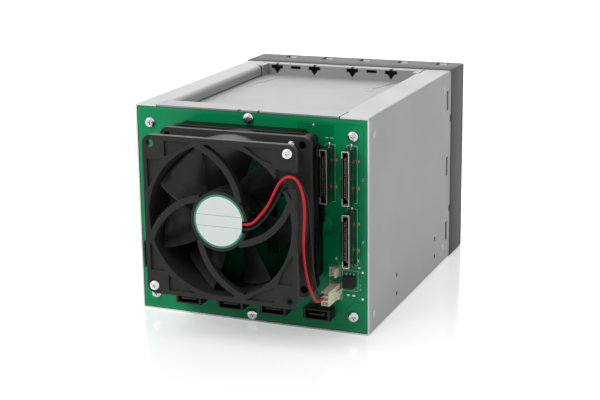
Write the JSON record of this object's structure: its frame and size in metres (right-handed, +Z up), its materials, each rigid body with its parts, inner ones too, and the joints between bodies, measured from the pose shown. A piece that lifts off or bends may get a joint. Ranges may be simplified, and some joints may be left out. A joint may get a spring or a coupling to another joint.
{
  "type": "hot swap drive cage",
  "caption": "Drive cage for 3.5 inch disks: upright trays with levers and locks slide into a sheet metal shell, with a board, sockets and a cooling fan at the back.",
  "frame": {"origin": "middle of the shell's underside, where the cage rests", "axes": "+X right as seen from the front, -Y towards the user (trays come out that way), +Y to the board and fan, +Z up"},
  "size_m": [0.147, 0.24, 0.1275],
  "materials": {
    "sheet_steel": "matt galvanised",
    "divider_steel": "matt",
    "dark_grey_plastic": "fine grain",
    "black_plastic": "fine grain",
    "guide_plastic": "smooth",
    "spring_steel": "bright",
    "board_green": "glossy solder mask",
    "screw_steel": "nickel plated",
    "socket_plastic": "smooth",
    "cream_plastic": "smooth",
    "chip_black": "matt",
    "fan_plastic": "fine grain",
    "blade_plastic": "semi gloss",
    "label_paper": "coated paper",
    "bearing_bronze": "sintered",
    "shaft_steel": "ground",
    "magnet_black": "bonded ferrite",
    "winding_copper": "enamelled",
    "wire_red": "PVC",
    "wire_black": "PVC",
    "lever_plastic": "fine grain",
    "button_plastic": "semi gloss",
    "lock_metal": "plated",
    "light_pipe": "clear"
  },
  "bodies": {
    "cage": {"outer_wrap": "sheet_steel", "top_panel": "sheet_steel", "divider_plates": "divider_steel", "floor_guides": "guide_plastic", "ceiling_guides": "guide_plastic", "shell_rivets": "sheet_steel", "bezel_frame": "dark_grey_plastic", "bezel_face": "black_plastic", "tray_springs": "spring_steel", "backplane_board": "board_green", "board_screws": "screw_steel", "drive_sockets": "socket_plastic", "power_sockets": "socket_plastic", "data_sockets": "socket_plastic", "fan_header": "cream_plastic", "fan_plug": "cream_plastic", "pin_header": "cream_plastic", "regulator": "chip_black", "fan_bracket": "black_plastic", "bracket_screws": "screw_steel", "fan_frame": "fan_plastic", "fan_label": "label_paper", "fan_screws": "screw_steel", "bearing_bush": "bearing_bronze", "motor_stator": "winding_copper", "fan_wire_red": "wire_red", "fan_wire_black": "wire_black"},
    "fan_rotor": {"fan_impeller": "blade_plastic", "fan_shaft": "shaft_steel", "rotor_magnet": "magnet_black"},
    "tray_1": {"tray_1_frame": "divider_steel", "tray_1_front": "black_plastic", "tray_1_light_pipes": "light_pipe"},
    "lever_1": {"tray_1_lever": "lever_plastic"},
    "button_1": {"tray_1_button": "button_plastic"},
    "lock_1": {"tray_1_lock": "lock_metal"},
    "tray_2": {"tray_2_frame": "divider_steel", "tray_2_front": "black_plastic", "tray_2_light_pipes": "light_pipe"},
    "lever_2": {"tray_2_lever": "lever_plastic"},
    "button_2": {"tray_2_button": "button_plastic"},
    "lock_2": {"tray_2_lock": "lock_metal"},
    "tray_3": {"tray_3_frame": "divider_steel", "tray_3_front": "black_plastic", "tray_3_light_pipes": "light_pipe"},
    "lever_3": {"tray_3_lever": "lever_plastic"},
    "button_3": {"tray_3_button": "button_plastic"},
    "lock_3": {"tray_3_lock": "lock_metal"},
    "tray_4": {"tray_4_frame": "divider_steel", "tray_4_front": "black_plastic", "tray_4_light_pipes": "light_pipe"},
    "lever_4": {"tray_4_lever": "lever_plastic"},
    "button_4": {"tray_4_button": "button_plastic"},
    "lock_4": {"tray_4_lock": "lock_metal"},
    "tray_5": {"tray_5_frame": "divider_steel", "tray_5_front": "black_plastic", "tray_5_light_pipes": "light_pipe"},
    "lever_5": {"tray_5_lever": "lever_plastic"},
    "button_5": {"tray_5_button": "button_plastic"},
    "lock_5": {"tray_5_lock": "lock_metal"}
  },
  "joints": [
    {"name": "fan_spin", "type": "hinge", "parent": "cage", "child": "fan_rotor", "pos_m": [-0.002, 0.116, 0.074], "axis": [0, 1, 0], "continuous": true},
    {"name": "tray_1_slide", "type": "slide", "parent": "cage", "child": "tray_1", "axis": [0, -1, 0], "range_m": [0, 0.15]},
    {"name": "lever_1_swing", "type": "hinge", "parent": "tray_1", "child": "lever_1", "pos_m": [-0.0544, -0.1036, 0.0151], "axis": [1, 0, 0], "range_deg": [0, 70]},
    {"name": "button_1_press", "type": "slide", "parent": "tray_1", "child": "button_1", "axis": [0, 1, 0], "range_m": [0, 0.0025], "stiffness_N_per_m": 300},
    {"name": "lock_1_turn", "type": "hinge", "parent": "tray_1", "child": "lock_1", "pos_m": [-0.0544, -0.1, 0.1089], "axis": [0, 1, 0], "range_deg": [0, 90]},
    {"name": "tray_2_slide", "type": "slide", "parent": "cage", "child": "tray_2", "axis": [0, -1, 0], "range_m": [0, 0.15]},
    {"name": "lever_2_swing", "type": "hinge", "parent": "tray_2", "child": "lever_2", "pos_m": [-0.0272, -0.1036, 0.0151], "axis": [1, 0, 0], "range_deg": [0, 70]},
    {"name": "button_2_press", "type": "slide", "parent": "tray_2", "child": "button_2", "axis": [0, 1, 0], "range_m": [0, 0.0025], "stiffness_N_per_m": 300},
    {"name": "lock_2_turn", "type": "hinge", "parent": "tray_2", "child": "lock_2", "pos_m": [-0.0272, -0.1, 0.1089], "axis": [0, 1, 0], "range_deg": [0, 90]},
    {"name": "tray_3_slide", "type": "slide", "parent": "cage", "child": "tray_3", "axis": [0, -1, 0], "range_m": [0, 0.15]},
    {"name": "lever_3_swing", "type": "hinge", "parent": "tray_3", "child": "lever_3", "pos_m": [0, -0.1036, 0.0151], "axis": [1, 0, 0], "range_deg": [0, 70]},
    {"name": "button_3_press", "type": "slide", "parent": "tray_3", "child": "button_3", "axis": [0, 1, 0], "range_m": [0, 0.0025], "stiffness_N_per_m": 300},
    {"name": "lock_3_turn", "type": "hinge", "parent": "tray_3", "child": "lock_3", "pos_m": [0, -0.1, 0.1089], "axis": [0, 1, 0], "range_deg": [0, 90]},
    {"name": "tray_4_slide", "type": "slide", "parent": "cage", "child": "tray_4", "axis": [0, -1, 0], "range_m": [0, 0.15]},
    {"name": "lever_4_swing", "type": "hinge", "parent": "tray_4", "child": "lever_4", "pos_m": [0.0272, -0.1036, 0.0151], "axis": [1, 0, 0], "range_deg": [0, 70]},
    {"name": "button_4_press", "type": "slide", "parent": "tray_4", "child": "button_4", "axis": [0, 1, 0], "range_m": [0, 0.0025], "stiffness_N_per_m": 300},
    {"name": "lock_4_turn", "type": "hinge", "parent": "tray_4", "child": "lock_4", "pos_m": [0.0272, -0.1, 0.1089], "axis": [0, 1, 0], "range_deg": [0, 90]},
    {"name": "tray_5_slide", "type": "slide", "parent": "cage", "child": "tray_5", "axis": [0, -1, 0], "range_m": [0, 0.15]},
    {"name": "lever_5_swing", "type": "hinge", "parent": "tray_5", "child": "lever_5", "pos_m": [0.0544, -0.1036, 0.0151], "axis": [1, 0, 0], "range_deg": [0, 70]},
    {"name": "button_5_press", "type": "slide", "parent": "tray_5", "child": "button_5", "axis": [0, 1, 0], "range_m": [0, 0.0025], "stiffness_N_per_m": 300},
    {"name": "lock_5_turn", "type": "hinge", "parent": "tray_5", "child": "lock_5", "pos_m": [0.0544, -0.1, 0.1089], "axis": [0, 1, 0], "range_deg": [0, 90]}
  ]
}
